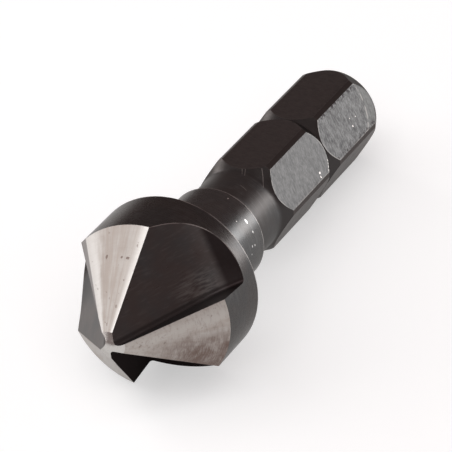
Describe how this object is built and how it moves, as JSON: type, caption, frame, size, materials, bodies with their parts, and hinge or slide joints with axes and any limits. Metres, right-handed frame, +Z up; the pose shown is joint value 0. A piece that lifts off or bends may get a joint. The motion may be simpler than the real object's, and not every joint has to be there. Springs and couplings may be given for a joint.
{
  "type": "countersink bit",
  "caption": "Countersink bit: a fluted conical cutting head on a turned collar and neck, with a hexagonal quick-change shank ringed by a V-groove.",
  "frame": {"origin": "middle of the underside of the bit's box, on the surface it lies on", "axes": "+Y along the bit's length towards the shank's end, so the tip points to -Y; +Z up, on the side of one flat of the shank"},
  "size_m": [0.0119, 0.036, 0.0123],
  "materials": {
    "tool_steel": "satin black oxide on the turned surfaces, bright ground cutting lands, plain milled flats on the hexagon"
  },
  "bodies": {
    "root": {"countersink_bit": "tool_steel"}
  },
  "joints": []
}
